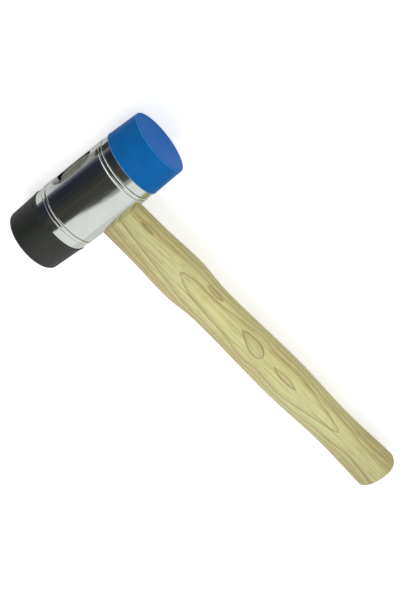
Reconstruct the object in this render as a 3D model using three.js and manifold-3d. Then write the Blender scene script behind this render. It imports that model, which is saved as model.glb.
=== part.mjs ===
// Panel beating hammer: a chromed steel head with a rubber face, a plastic face and a wedged ash handle.
// Millimetres. In the hammer's own frame X runs from the head axis along the handle to the butt,
// Y runs along the head axis towards the blue face, and Z points up from the side it lies on.

import * as THREE from 'three';
import { mergeVertices } from 'three/addons/utils/BufferGeometryUtils.js';
import Module from 'manifold-3d';

const wasm = await Module();
wasm.setup();

// Head body
const HEAD_DIAMETER = 40;
const BODY_LENGTH = 38.9;
const EDGE_CHAMFER = 0.35;

// Clearance between neighbouring pieces
const FIT_GAP = 0.1;

// Oval eye across the head, narrowest at the head axis
const EYE_TOP_LENGTH = 28;
const EYE_WAIST_LENGTH = 24;
const EYE_MOUTH_LENGTH = 27.2;
const EYE_THICKNESS = 14.8;
const OVAL_POWER = 2.4;
const EYE_WALL = 0.8;

// Seat ring and collar behind each striking face
const RING_THICKNESS = 2.1;
const COLLAR_LENGTH = 5;
const COLLAR_STEP = 0.4;
const COLLAR_WALL = 2;
const COLLAR_WEB = 1.5;

// Striking faces
const LIP_DIAMETER = 40.4;
const LIP_LENGTH = 1;
const BLUE_LENGTH = 19.7;
const BLUE_BASE_DIAMETER = 40;
const BLUE_TIP_DIAMETER = 38.5;
const BLUE_ROUND = 0.8;
const RUBBER_LENGTH = 21.4;
const RUBBER_BASE_DIAMETER = 39.6;
const RUBBER_TIP_DIAMETER = 37.9;
const RUBBER_ROUND = 2.2;

// Threaded stud moulded into each face
const THREAD_DIAMETER = 16;
const THREAD_PITCH = 1.25;
const THREAD_DEPTH = 0.75;
const THREAD_RUNOUT = 1.2;
const STUD_TIP_GAP = 0.4;
const FLANGE_DIAMETER = 22;
const FLANGE_THICKNESS = 3;
const FLANGE_COVER = 2.4;
const BORE_CHAMFER = 0.8;

// Handle, with places measured from the head axis or back from the butt
const HANDLE_REACH = 278.3;
const NECK_SWELL_PLACE = 46;
const NECK_SWELL = [27.5, 17.6];
const SHOULDER_PLACE = 76;
const SHOULDER = [29.6, 20.6];
const WAIST_PLACE = 98;
const WAIST = [26.2, 19.4];
const PALM_FROM_BUTT = 105;
const PALM = [29.1, 22.2];
const TAIL_FROM_BUTT = 51;
const TAIL = [26.6, 20.8];
const BUTT = [30, 23.1];
const BUTT_ROUND = 2.2;

// Tenon and wedges in the eye
const TENON_RECESS = 1.8;
const TENON_BEVEL = 4;
const TENON_BEVEL_LENGTH = 9;
const WEDGE_DEPTH = 24;
const WEDGE_TOP = 3;
const WEDGE_TIP = 0.9;
const WEDGE_MARGIN = 1.5;
const STEEL_WEDGE_DEPTH = 12;
const STEEL_WEDGE_WIDTH = 9;
const STEEL_WEDGE_TOP = 1.8;
const STEEL_WEDGE_TIP = 0.7;
const STEEL_WEDGE_PLACE = 5;

// Fineness of the round surfaces
const ROUND_SEGMENTS = 48;
const THREAD_SEGMENTS = 24;
const ROWS_PER_PITCH = 5;
const OVAL_POINTS = 28;
const HANDLE_SECTIONS = 26;
const ROUNDING_STEPS = 4;
const MERGE_DISTANCE = 1e-4;

// Sizes that follow from the ones above
const headRadius = HEAD_DIAMETER / 2;
const bodyEnd = BODY_LENGTH / 2;
const ringStart = bodyEnd + FIT_GAP;
const ringEnd = ringStart + RING_THICKNESS;
const collarStart = ringEnd + FIT_GAP;
const collarEnd = collarStart + COLLAR_LENGTH;
const collarRadius = headRadius - COLLAR_STEP;
const spigotStart = collarStart + COLLAR_WEB + FIT_GAP;
const spigotRadius = collarRadius - COLLAR_WALL - FIT_GAP;
const faceStart = collarEnd + FIT_GAP;
const lipRadius = LIP_DIAMETER / 2;
const blueShape = {
  length: BLUE_LENGTH,
  base: BLUE_BASE_DIAMETER,
  tip: BLUE_TIP_DIAMETER,
  round: BLUE_ROUND,
};
const rubberShape = {
  length: RUBBER_LENGTH,
  base: RUBBER_BASE_DIAMETER,
  tip: RUBBER_TIP_DIAMETER,
  round: RUBBER_ROUND,
};
const threadRadius = THREAD_DIAMETER / 2;
const boreRadius = threadRadius + FIT_GAP;
const boreEnd = eyeHalfLength(-boreRadius) + EYE_WALL;
const studTip = boreEnd + STUD_TIP_GAP;
const flangeRadius = FLANGE_DIAMETER / 2;
const flangeStart = spigotStart + FLANGE_COVER;
const flangeEnd = flangeStart + FLANGE_THICKNESS;
const tenonTip = TENON_RECESS - headRadius;
const eyeMouth = headRadius + FIT_GAP;

const chrome = new THREE.MeshStandardMaterial({ color: 0xc8cbc8, roughness: 0.12, metalness: 1 });
const steel = new THREE.MeshStandardMaterial({ color: 0x8d9093, roughness: 0.4, metalness: 1 });
const rubber = new THREE.MeshStandardMaterial({ color: 0x2b2f2c, roughness: 0.75, metalness: 0 });
const bluePlastic = new THREE.MeshStandardMaterial({ color: 0x1560ae, roughness: 0.3, metalness: 0 });
const ash = new THREE.MeshStandardMaterial({ color: 0xcdc896, roughness: 0.6, metalness: 0 });
const beech = new THREE.MeshStandardMaterial({ color: 0xb08d5c, roughness: 0.7, metalness: 0 });

// Half the eye's length along the head axis, at a distance x from that axis.
function eyeHalfLength(x) {
  const outer = x < 0 ? EYE_TOP_LENGTH : EYE_MOUTH_LENGTH;
  const share = Math.abs(x) / (HEAD_DIAMETER / 2);
  return (EYE_WAIST_LENGTH + (outer - EYE_WAIST_LENGTH) * share) / 2;
}

// An oval ring of points at x, with its own half widths towards -Y and +Y.
function oval(x, halfLeft, halfRight, halfThickness) {
  const points = [];
  for (let i = 0; i < OVAL_POINTS; i++) {
    const angle = (2 * Math.PI * i) / OVAL_POINTS;
    const across = Math.cos(angle);
    const up = Math.sin(angle);
    const y = Math.sign(across) * Math.abs(across) ** (2 / OVAL_POWER);
    const z = Math.sign(up) * Math.abs(up) ** (2 / OVAL_POWER);
    points.push([x, y * (y < 0 ? halfLeft : halfRight), z * halfThickness]);
  }
  return points;
}

// A four-cornered ring of points at x, for wedges.
function rectangle(x, yLow, yHigh, halfThickness) {
  return [
    [x, yHigh, -halfThickness],
    [x, yHigh, halfThickness],
    [x, yLow, halfThickness],
    [x, yLow, -halfThickness],
  ];
}

// A closed skin through rings of equal count that follow each other towards +X.
function loft(rings) {
  const count = rings[0].length;
  const positions = rings.flat(2);
  const index = [];
  const addCap = (ring, flipped) => {
    const centre = positions.length / 3;
    const sum = rings[ring].reduce((a, p) => a.map((v, k) => v + p[k] / count), [0, 0, 0]);
    positions.push(...sum);
    for (let i = 0; i < count; i++) {
      const a = ring * count + i;
      const b = ring * count + ((i + 1) % count);
      index.push(centre, flipped ? b : a, flipped ? a : b);
    }
  };
  for (let r = 0; r + 1 < rings.length; r++) {
    for (let i = 0; i < count; i++) {
      const a = r * count + i;
      const b = r * count + ((i + 1) % count);
      index.push(a, b, b + count, a, b + count, a + count);
    }
  }
  addCap(0, true);
  addCap(rings.length - 1, false);
  const geometry = new THREE.BufferGeometry();
  geometry.setAttribute('position', new THREE.Float32BufferAttribute(positions, 3));
  geometry.setIndex(index);
  return geometry;
}

// A solid turned about the head axis from [radius, y] pairs.
function turned(profile) {
  return new THREE.LatheGeometry(profile.map(([r, y]) => new THREE.Vector2(r, y)), ROUND_SEGMENTS);
}

// A quarter-round corner from the side at radius r to the end at y, as [radius, y] pairs.
function roundedCorner(r, y, round) {
  const points = [];
  for (let i = 0; i <= ROUNDING_STEPS; i++) {
    const angle = (Math.PI / 2) * (i / ROUNDING_STEPS);
    points.push([r - round + round * Math.cos(angle), y - round + round * Math.sin(angle)]);
  }
  return points;
}

// Boolean cuts, on solids made from closed geometries.
function solid(geometry) {
  const bare = geometry.clone();
  bare.deleteAttribute('normal');
  bare.deleteAttribute('uv');
  const merged = mergeVertices(bare, MERGE_DISTANCE);
  const vertProperties = new Float32Array(merged.attributes.position.array);
  const triVerts = new Uint32Array(merged.index.array);
  return new wasm.Manifold(new wasm.Mesh({ numProp: 3, vertProperties, triVerts }));
}

function cut(geometry, ...tools) {
  let body = solid(geometry);
  for (const tool of tools) body = body.subtract(solid(tool));
  const mesh = body.getMesh();
  const result = new THREE.BufferGeometry();
  result.setAttribute('position', new THREE.Float32BufferAttribute(mesh.vertProperties, 3));
  result.setIndex(Array.from(mesh.triVerts));
  return result;
}

function named(name, geometry, material) {
  const mesh = new THREE.Mesh(geometry, material);
  mesh.name = name;
  return mesh;
}

// Head body: turned bar with a blind tapped bore in each end and the eye cut across it.
function makeHeadBody() {
  const end = [
    [0, boreEnd],
    [boreRadius, boreEnd],
    [boreRadius, bodyEnd - BORE_CHAMFER],
    [boreRadius + BORE_CHAMFER, bodyEnd],
    [headRadius - EDGE_CHAMFER, bodyEnd],
    [headRadius, bodyEnd - EDGE_CHAMFER],
  ];
  const lowerEnd = end.map(([r, y]) => [r, -y]);
  const upperEnd = [...end].reverse();
  const bar = turned([...lowerEnd, ...upperEnd]);
  const eyeRing = (x) => {
    const half = eyeHalfLength(x);
    return oval(x, half, half, EYE_THICKNESS / 2);
  };
  const eye = loft([-HEAD_DIAMETER, 0, HEAD_DIAMETER].map(eyeRing));
  return named('head_body', cut(bar, eye), chrome);
}

function makeSeatRing(name) {
  const bore = threadRadius + FIT_GAP;
  return named(name, turned([
    [bore, ringStart],
    [headRadius - EDGE_CHAMFER, ringStart],
    [headRadius, ringStart + EDGE_CHAMFER],
    [headRadius, ringEnd - EDGE_CHAMFER],
    [headRadius - EDGE_CHAMFER, ringEnd],
    [bore, ringEnd],
    [bore, ringStart],
  ]), chrome);
}

// Collar: a shallow cup that takes the spigot of the striking face.
function makeCollar(name) {
  const bore = threadRadius + FIT_GAP;
  const cupRadius = collarRadius - COLLAR_WALL;
  return named(name, turned([
    [bore, collarStart],
    [collarRadius - EDGE_CHAMFER, collarStart],
    [collarRadius, collarStart + EDGE_CHAMFER],
    [collarRadius, collarEnd],
    [cupRadius, collarEnd],
    [cupRadius, collarStart + COLLAR_WEB],
    [bore, collarStart + COLLAR_WEB],
    [bore, collarStart],
  ]), chrome);
}

// Striking face: spigot in the collar, pocket round the stud's flange, lip, tapered side and rounded end.
function makeFace(name, { length, base, tip, round }, material) {
  const faceEnd = faceStart + length;
  const neck = threadRadius + FIT_GAP;
  const pocket = flangeRadius + FIT_GAP;
  return named(name, turned([
    [0, flangeEnd + FIT_GAP],
    [pocket, flangeEnd + FIT_GAP],
    [pocket, flangeStart - FIT_GAP],
    [neck, flangeStart - FIT_GAP],
    [neck, spigotStart],
    [spigotRadius, spigotStart],
    [spigotRadius, faceStart],
    [lipRadius, faceStart],
    [base / 2, faceStart + LIP_LENGTH],
    ...roundedCorner(tip / 2, faceEnd, round),
    [0, faceEnd],
  ]), material);
}

// Stud: right-hand thread, plain neck and the flange that the face is moulded round.
function makeStud(name) {
  const threadEnd = bodyEnd + THREAD_RUNOUT;
  const rowCount = Math.round(((threadEnd - studTip) / THREAD_PITCH) * ROWS_PER_PITCH);
  const rows = [];
  for (let k = 0; k <= rowCount; k++) {
    const y = studTip + ((threadEnd - studTip) * k) / rowCount;
    const nearEnd = Math.min(1, (threadEnd - y) / (THREAD_PITCH / 2));
    rows.push({ y, radius: threadRadius, depth: THREAD_DEPTH * nearEnd });
  }
  rows.push({ y: flangeStart, radius: threadRadius, depth: 0 });
  rows.push({ y: flangeStart, radius: flangeRadius, depth: 0 });
  rows.push({ y: flangeEnd, radius: flangeRadius, depth: 0 });
  const ring = ({ y, radius, depth }) => {
    const points = [];
    for (let i = 0; i < THREAD_SEGMENTS; i++) {
      const turn = i / THREAD_SEGMENTS;
      const groove = 0.5 - 0.5 * Math.cos(2 * Math.PI * (y / THREAD_PITCH - turn));
      const r = radius - depth * groove;
      const angle = 2 * Math.PI * turn;
      points.push([y, r * Math.cos(angle), r * Math.sin(angle)]);
    }
    return points;
  };
  const geometry = loft(rows.map(ring));
  geometry.rotateZ(Math.PI / 2);
  return named(name, geometry, steel);
}

// Everything that screws into one end of the head.
function makeFaceEnd(prefix, face, material) {
  const end = new THREE.Group();
  end.add(makeSeatRing(`${prefix}_seat_ring`));
  end.add(makeCollar(`${prefix}_collar`));
  end.add(makeFace(`${prefix}_face`, face, material));
  end.add(makeStud(`${prefix}_stud`));
  return end;
}

// Wedge solids, grown by a clearance and run past the tenon where they are used as cutters.
function woodWedge(yLow, yHigh, grow, past) {
  const slope = (WEDGE_TOP - WEDGE_TIP) / WEDGE_DEPTH;
  const thickness = (depth) => WEDGE_TOP / 2 - (slope * depth) / 2 + grow;
  const deep = WEDGE_DEPTH + grow;
  return loft([
    rectangle(tenonTip - past, yLow, yHigh, thickness(-past)),
    rectangle(tenonTip + deep, yLow, yHigh, thickness(deep)),
  ]);
}

function steelWedge(grow, past) {
  const slope = (STEEL_WEDGE_TOP - STEEL_WEDGE_TIP) / STEEL_WEDGE_DEPTH;
  const half = (depth) => STEEL_WEDGE_TOP / 2 - (slope * depth) / 2 + grow;
  const ring = (depth) => {
    const reach = half(depth);
    const width = STEEL_WEDGE_WIDTH / 2 + grow;
    return rectangle(tenonTip + depth, STEEL_WEDGE_PLACE - reach, STEEL_WEDGE_PLACE + reach, width);
  };
  return loft([ring(-past), ring(STEEL_WEDGE_DEPTH + grow)]);
}

// Handle: tenon shaped to the eye, then a spline through the neck, shoulder, waist, palm and tail.
function makeHandle() {
  const tenonRing = (x, bevel) => {
    const half = eyeHalfLength(x) - FIT_GAP;
    return oval(x, half - bevel, half, EYE_THICKNESS / 2 - FIT_GAP);
  };
  const neckHalf = eyeHalfLength(eyeMouth) - FIT_GAP;
  const buttPlace = HANDLE_REACH - BUTT_ROUND;
  const places = [
    [NECK_SWELL_PLACE, NECK_SWELL],
    [SHOULDER_PLACE, SHOULDER],
    [WAIST_PLACE, WAIST],
    [HANDLE_REACH - PALM_FROM_BUTT, PALM],
    [HANDLE_REACH - TAIL_FROM_BUTT, TAIL],
    [buttPlace, BUTT],
  ];
  const spine = new THREE.CatmullRomCurve3([
    new THREE.Vector3(eyeMouth, neckHalf, EYE_THICKNESS / 2 - FIT_GAP),
    ...places.map(([x, [width, thickness]]) => new THREE.Vector3(x, width / 2, thickness / 2)),
  ]);
  const rings = [
    tenonRing(tenonTip, TENON_BEVEL),
    tenonRing(tenonTip + TENON_BEVEL_LENGTH, 0),
    tenonRing(0, 0),
  ];
  for (let i = 0; i <= HANDLE_SECTIONS; i++) {
    const { x, y, z } = spine.getPoint(i / HANDLE_SECTIONS);
    rings.push(oval(x, y, y, z));
  }
  for (let i = 1; i <= ROUNDING_STEPS; i++) {
    const angle = (Math.PI / 2) * (i / ROUNDING_STEPS);
    const inset = BUTT_ROUND * (1 - Math.cos(angle));
    const half = BUTT[0] / 2 - inset;
    rings.push(oval(buttPlace + BUTT_ROUND * Math.sin(angle), half, half, BUTT[1] / 2 - inset));
  }
  const kerf = woodWedge(-EYE_TOP_LENGTH, EYE_TOP_LENGTH, FIT_GAP, TENON_RECESS);
  return named('handle', cut(loft(rings), kerf, steelWedge(FIT_GAP, TENON_RECESS)), ash);
}

function makeWoodWedge() {
  const yLow = TENON_BEVEL + WEDGE_MARGIN - eyeHalfLength(tenonTip);
  const yHigh = eyeHalfLength(0) - WEDGE_MARGIN;
  return named('wood_wedge', cut(woodWedge(yLow, yHigh, 0, 0), steelWedge(FIT_GAP, TENON_RECESS)), beech);
}

function makeSteelWedge() {
  return named('steel_wedge', steelWedge(0, 0), steel);
}

const hammer = new THREE.Group();
hammer.add(makeHeadBody());
hammer.add(makeFaceEnd('blue', blueShape, bluePlastic));
const rubberEnd = makeFaceEnd('rubber', rubberShape, rubber);
rubberEnd.rotation.x = Math.PI;
hammer.add(rubberEnd);
hammer.add(makeHandle());
hammer.add(makeWoodWedge());
hammer.add(makeSteelWedge());

// The hammer lies on its side, on the lips of its faces and on the butt.
const buttContact = HANDLE_REACH - BUTT_ROUND;
const buttHalf = BUTT[1] / 2;
const contactDistance = Math.hypot(buttContact, buttHalf);
hammer.rotation.y = Math.asin(lipRadius / contactDistance) - Math.atan2(buttHalf, buttContact);

// The origin is the middle of the footprint.
hammer.updateMatrixWorld(true);
const box = new THREE.Box3().setFromObject(hammer, true);
const middle = box.getCenter(new THREE.Vector3());
hammer.position.set(-middle.x, -middle.y, -box.min.z);

const part = new THREE.Group();
part.add(hammer);

export default part;
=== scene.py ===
"""Panel beating hammer: finished pieces, materials, floor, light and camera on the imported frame."""

import math

import bmesh
import bpy
from mathutils import Matrix, Vector


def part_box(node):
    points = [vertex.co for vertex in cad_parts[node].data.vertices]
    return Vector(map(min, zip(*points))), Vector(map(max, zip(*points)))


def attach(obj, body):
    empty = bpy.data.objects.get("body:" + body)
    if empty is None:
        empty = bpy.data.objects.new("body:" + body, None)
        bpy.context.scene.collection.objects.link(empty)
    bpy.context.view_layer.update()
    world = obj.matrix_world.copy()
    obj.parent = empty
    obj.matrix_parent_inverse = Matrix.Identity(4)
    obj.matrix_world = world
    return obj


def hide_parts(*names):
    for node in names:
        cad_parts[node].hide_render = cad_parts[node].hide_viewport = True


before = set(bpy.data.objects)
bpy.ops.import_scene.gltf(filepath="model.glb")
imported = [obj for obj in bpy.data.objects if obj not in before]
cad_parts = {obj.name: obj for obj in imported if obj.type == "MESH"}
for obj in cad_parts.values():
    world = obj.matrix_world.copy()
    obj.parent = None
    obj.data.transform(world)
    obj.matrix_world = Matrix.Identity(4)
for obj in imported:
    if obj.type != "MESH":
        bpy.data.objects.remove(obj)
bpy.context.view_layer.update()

# Sizes of the solids, in millimetres
HEAD_RADIUS = 20.0
BODY_LENGTH = 38.9
FIT_GAP = 0.1
EYE_TOP_LENGTH = 28.0
EYE_WAIST_LENGTH = 24.0
EYE_MOUTH_LENGTH = 27.2
EYE_HALF_THICKNESS = 7.4
EYE_WALL = 0.8
OVAL_POWER = 2.4
RING_THICKNESS = 2.1
COLLAR_LENGTH = 5.0
COLLAR_STEP = 0.4
COLLAR_WALL = 2.0
COLLAR_WEB = 1.5
LIP_RADIUS = 20.2
LIP_LENGTH = 1.0
BLUE = {"length": 19.7, "base": 20.0, "tip": 19.25, "round": 0.8}
RUBBER = {"length": 21.4, "base": 19.8, "tip": 18.95, "round": 2.2}
THREAD_RADIUS = 8.0
THREAD_PITCH = 1.25
THREAD_DEPTH = 0.75
THREAD_RUNOUT = 1.2
BORE_CHAMFER = 0.8
STUD_TIP_GAP = 0.4
FLANGE_RADIUS = 11.0
FLANGE_THICKNESS = 3.0
FLANGE_COVER = 2.4
TENON_RECESS = 1.8
TENON_BEVEL = 4.0
TENON_BEVEL_LENGTH = 9.0
WEDGE_DEPTH = 24.0
WEDGE_TOP = 3.0
WEDGE_TIP = 0.9
WEDGE_MARGIN = 1.5
STEEL_WEDGE_DEPTH = 12.0
STEEL_WEDGE_WIDTH = 9.0
STEEL_WEDGE_TOP = 1.8
STEEL_WEDGE_TIP = 0.7
STEEL_WEDGE_PLACE = 5.0
HANDLE_REACH = 278.3
BUTT_ROUND = 2.2

# Places along the handle from the head axis, with the half width and half thickness there
HANDLE_PLACES = [
    (46.0, 13.75, 8.8),
    (76.0, 14.8, 10.3),
    (98.0, 13.1, 9.7),
    (HANDLE_REACH - 105.0, 14.55, 11.1),
    (HANDLE_REACH - 51.0, 13.3, 10.4),
    (HANDLE_REACH - BUTT_ROUND, 15.0, 11.55),
]

# Edge roundings that the finished surfaces add
BODY_EDGE = 0.95
RING_EDGE = 0.55
HIDDEN_EDGE = 0.1
BORE_FLOOR_EDGE = 0.2
LIP_EDGE = 0.2
LIP_BLEND = 0.4
RIM_ROUND = 0.5
TENON_EDGE = 0.4
WEDGE_EDGE = 0.12
BUTT_RING_INSET = 0.6

# Fineness, with angles in degrees
SEGMENTS = 192
ARC_STEPS = 6
BUTT_STEPS = 10
BEVEL_SEGMENTS = 3
HANDLE_POINTS = 96
HANDLE_SECTIONS = 150
THREAD_SEGMENTS = 96
ROWS_PER_PITCH = 12
SHARP_ANGLE = 40
THREAD_SHARP_ANGLE = 50
CUT_PAST = 2.0

# Grid round each opening of the eye: segments to each side, reach along the head, rows and layers
HOLE_SEGMENTS = 14
HOLE_REACH = 17.0
HOLE_ROWS = 34
HOLE_LAYERS = 6

# Sizes that follow from the ones above
MM = 0.001
BODY_END = BODY_LENGTH / 2
RING_START = BODY_END + FIT_GAP
RING_END = RING_START + RING_THICKNESS
COLLAR_START = RING_END + FIT_GAP
COLLAR_END = COLLAR_START + COLLAR_LENGTH
COLLAR_RADIUS = HEAD_RADIUS - COLLAR_STEP
CUP_RADIUS = COLLAR_RADIUS - COLLAR_WALL
FACE_START = COLLAR_END + FIT_GAP
SPIGOT_START = COLLAR_START + COLLAR_WEB + FIT_GAP
FLANGE_START = SPIGOT_START + FLANGE_COVER
FLANGE_END = FLANGE_START + FLANGE_THICKNESS
BORE_RADIUS = THREAD_RADIUS + FIT_GAP
TENON_TIP = TENON_RECESS - HEAD_RADIUS


def eye_half_length(x):
    """Half the length of the eye along the head, at a place across it."""
    outer = EYE_TOP_LENGTH if x < 0 else EYE_MOUTH_LENGTH
    return (EYE_WAIST_LENGTH + (outer - EYE_WAIST_LENGTH) * abs(x) / HEAD_RADIUS) / 2


BORE_END = eye_half_length(-BORE_RADIUS) + EYE_WALL
STUD_TIP = BORE_END + STUD_TIP_GAP

# The hammer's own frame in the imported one: it lies on the lips of its faces and on the butt.
butt_place, butt_half_width, butt_half_thickness = HANDLE_PLACES[-1]
butt_distance = math.hypot(butt_place, butt_half_thickness)
TILT = math.asin(LIP_RADIUS / butt_distance) - math.atan2(butt_half_thickness, butt_place)
head_low, head_high = (Vector(corner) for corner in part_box("head_body"))
HEAD_CENTRE = (head_low + head_high) / 2
PLACE = Matrix.Translation(HEAD_CENTRE) @ Matrix.Rotation(TILT, 4, "Y")
PLACE_TURNED = PLACE @ Matrix.Rotation(math.pi, 4, "X")


# Meshes

def mesh_of(name, points, faces, normals=None):
    """A smooth mesh from millimetre points, with exact normals where they are given."""
    mesh = bpy.data.meshes.new(name)
    mesh.from_pydata([Vector(p) * MM for p in points], [], faces)
    work = bmesh.new()
    work.from_mesh(mesh)
    bmesh.ops.recalc_face_normals(work, faces=work.faces)
    work.to_mesh(mesh)
    work.free()
    mesh.shade_smooth()
    if normals:
        mesh.normals_split_custom_set_from_vertices([Vector(n).normalized() for n in normals])
    return mesh


def add_piece(name, mesh, material, node, body, place=PLACE):
    """Puts a mesh in place of a CAD node, riding on that node's body."""
    piece = bpy.data.objects.new(name, mesh)
    bpy.context.scene.collection.objects.link(piece)
    mesh.materials.clear()
    mesh.materials.append(material)
    piece.matrix_world = place
    bpy.context.view_layer.update()
    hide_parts(node)
    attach(piece, body)


def rounded_profile(corners, closed):
    """(radius, y, normal radius, normal y) points along corners of (radius, y, rounding)."""
    count = len(corners)
    profile = []
    for i, (r, y, rounding) in enumerate(corners):
        here = Vector((r, y))
        before = Vector(corners[i - 1][:2]) if closed or i else None
        after = Vector(corners[(i + 1) % count][:2]) if closed or i + 1 < count else None
        way_in = (here - before).normalized() if before else (after - here).normalized()
        way_out = (after - here).normalized() if after else way_in
        normal_in = Vector((way_in.y, -way_in.x))
        turn = math.atan2(way_in.x * way_out.y - way_in.y * way_out.x, way_in.dot(way_out))
        if abs(turn) < 1e-6:
            profile.append((r, y, normal_in.x, normal_in.y))
            continue
        start = here - way_in * rounding * math.tan(abs(turn) / 2)
        side = 1 if turn > 0 else -1
        centre = start - normal_in * rounding * side
        for k in range(ARC_STEPS + 1):
            angle = turn * k / ARC_STEPS
            c, s = math.cos(angle), math.sin(angle)
            normal = Vector((normal_in.x * c - normal_in.y * s, normal_in.x * s + normal_in.y * c))
            point = centre + normal * rounding * side
            profile.append((point.x, point.y, normal.x, normal.y))
    return profile


def turned(name, corners, closed):
    """A piece turned about the head axis."""
    profile = rounded_profile(corners, closed)
    points, normals, faces = [], [], []
    rings = []
    for r, y, nr, ny in profile:
        steps = SEGMENTS if r > 1e-6 else 1
        rings.append((len(points), steps))
        for i in range(steps):
            c, s = math.cos(2 * math.pi * i / SEGMENTS), math.sin(2 * math.pi * i / SEGMENTS)
            points.append((r * c, y, r * s))
            normals.append((nr * c, ny, nr * s))
    following = rings[1:] + rings[:1] if closed else rings[1:]
    for (a, a_steps), (b, b_steps) in zip(rings, following):
        for i in range(SEGMENTS):
            j = (i + 1) % SEGMENTS
            if a_steps == 1:
                faces.append((a, b + i, b + j))
            elif b_steps == 1:
                faces.append((a + i, b, a + j))
            else:
                faces.append((a + i, b + i, b + j, a + j))
    return mesh_of(name, points, faces, normals)


def oval_point(angle, half_width, half_thickness):
    """A point of the oval that the eye and the handle share."""
    across, up = math.cos(angle), math.sin(angle)
    y = math.copysign(abs(across) ** (2 / OVAL_POWER), across) * half_width
    z = math.copysign(abs(up) ** (2 / OVAL_POWER), up) * half_thickness
    return y, z


def oval_normal(y, z, half_width, half_thickness):
    ny = math.copysign((abs(y) / half_width) ** (OVAL_POWER - 1), y) / half_width
    nz = math.copysign((abs(z) / half_thickness) ** (OVAL_POWER - 1), z) / half_thickness
    return Vector((0, ny, nz)).normalized()


# Head body: a turned bar with bored ends, and an eye across it whose rims are rounded

BAR_STEP = 2 * math.pi / SEGMENTS
HALF_TURN = SEGMENTS // 2
BAR_EDGE = BODY_END - BODY_EDGE
BAR_ROWS = [-BAR_EDGE, *(HOLE_REACH * (2 * i / HOLE_ROWS - 1) for i in range(HOLE_ROWS + 1)), BAR_EDGE]
HOLE_FIRST = 1
HOLE_LAST = HOLE_ROWS + 1


class Skin:
    """Points with their normals, and the faces between them."""

    def __init__(self):
        self.points = []
        self.normals = []
        self.faces = []

    def add_point(self, point, normal):
        self.points.append(point)
        self.normals.append(normal)
        return len(self.points) - 1

    def add_bar_point(self, angle, y):
        c, s = math.cos(angle), math.sin(angle)
        return self.add_point((HEAD_RADIUS * c, y, HEAD_RADIUS * s), (c, 0, s))

    def add_strip(self, a, b):
        for i in range(len(a)):
            j = (i + 1) % len(a)
            self.faces.append((a[i], b[i], b[j], a[j]))


def add_bar(skin):
    """The round side of the bar, left open where the eye comes through, as a grid of points."""
    def segments_from_eye(segment):
        return min(abs((segment - middle + HALF_TURN) % SEGMENTS - HALF_TURN) for middle in (0, HALF_TURN))

    grid = {}
    for r, y in enumerate(BAR_ROWS):
        for s in range(SEGMENTS):
            in_hole = segments_from_eye(s) < HOLE_SEGMENTS and HOLE_FIRST < r < HOLE_LAST
            if not in_hole:
                grid[r, s] = skin.add_bar_point(BAR_STEP * s, y)
    for r in range(len(BAR_ROWS) - 1):
        for s in range(SEGMENTS):
            t = (s + 1) % SEGMENTS
            reach = max(segments_from_eye(s), segments_from_eye(t))
            in_hole = reach <= HOLE_SEGMENTS and HOLE_FIRST <= r < HOLE_LAST
            if not in_hole:
                skin.faces.append((grid[r, s], grid[r + 1, s], grid[r + 1, t], grid[r, t]))
    return grid


def eye_rim_at(side, bow, y):
    """Start of the rim's rounding on the bar, its sharp corner, its end on the wall, and the way out."""
    half = eye_half_length(side * HEAD_RADIUS)
    turn = math.atan2(HEAD_RADIUS * math.sin(bow) / EYE_HALF_THICKNESS, y / half)
    _, z_rim = oval_point(turn, half, EYE_HALF_THICKNESS)
    x_rim = side * math.sqrt(HEAD_RADIUS ** 2 - z_rim ** 2)
    half = eye_half_length(x_rim)
    y_rim, z_rim = oval_point(turn, half, EYE_HALF_THICKNESS)
    out = oval_normal(y_rim, z_rim, half, EYE_HALF_THICKNESS)
    y_flat, z_flat = y_rim + RIM_ROUND * out.y, z_rim + RIM_ROUND * out.z
    start = Vector((side * math.sqrt(HEAD_RADIUS ** 2 - z_flat ** 2), y_flat, z_flat))
    corner = Vector((x_rim, y_rim, z_rim))
    x_wall = x_rim - side * RIM_ROUND
    y_wall, _ = oval_point(turn, eye_half_length(x_wall), EYE_HALF_THICKNESS)
    return start, corner, Vector((x_wall, y_wall, z_rim)), out


def add_eye_rim(skin, grid, side):
    """Loops from the grid's border to the eye wall. Side is 1 at the mouth and -1 at the top."""
    reach = HOLE_SEGMENTS
    border = [(k, HOLE_FIRST) for k in range(-reach, reach)]
    border += [(reach, r) for r in range(HOLE_FIRST, HOLE_LAST)]
    border += [(-k, HOLE_LAST) for k in range(-reach, reach)]
    border += [(-reach, r) for r in range(HOLE_LAST, HOLE_FIRST, -1)]
    loops = [[] for _ in range(HOLE_LAYERS + ARC_STEPS + 1)]
    for k, r in border:
        bow, y = BAR_STEP * k, BAR_ROWS[r]
        start, corner, finish, out = eye_rim_at(side, bow, y)
        segment = k if side > 0 else HALF_TURN - k
        loops[0].append(grid[r, segment % SEGMENTS])
        bow_start = math.asin(start.z / HEAD_RADIUS)
        for layer in range(1, HOLE_LAYERS + 1):
            share = layer / HOLE_LAYERS
            angle = bow + (bow_start - bow) * share
            angle = angle if side > 0 else math.pi - angle
            loops[layer].append(skin.add_bar_point(angle, y + (start.y - y) * share))
        bar_normal = Vector((start.x, 0, start.z)).normalized()
        for i in range(1, ARC_STEPS + 1):
            t = i / ARC_STEPS
            point = start * (1 - t) ** 2 + corner * 2 * t * (1 - t) + finish * t ** 2
            loops[HOLE_LAYERS + i].append(skin.add_point(point, bar_normal.lerp(-out, t)))
    for a, b in zip(loops, loops[1:]):
        skin.add_strip(a, b)
    return loops[-1]


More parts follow.
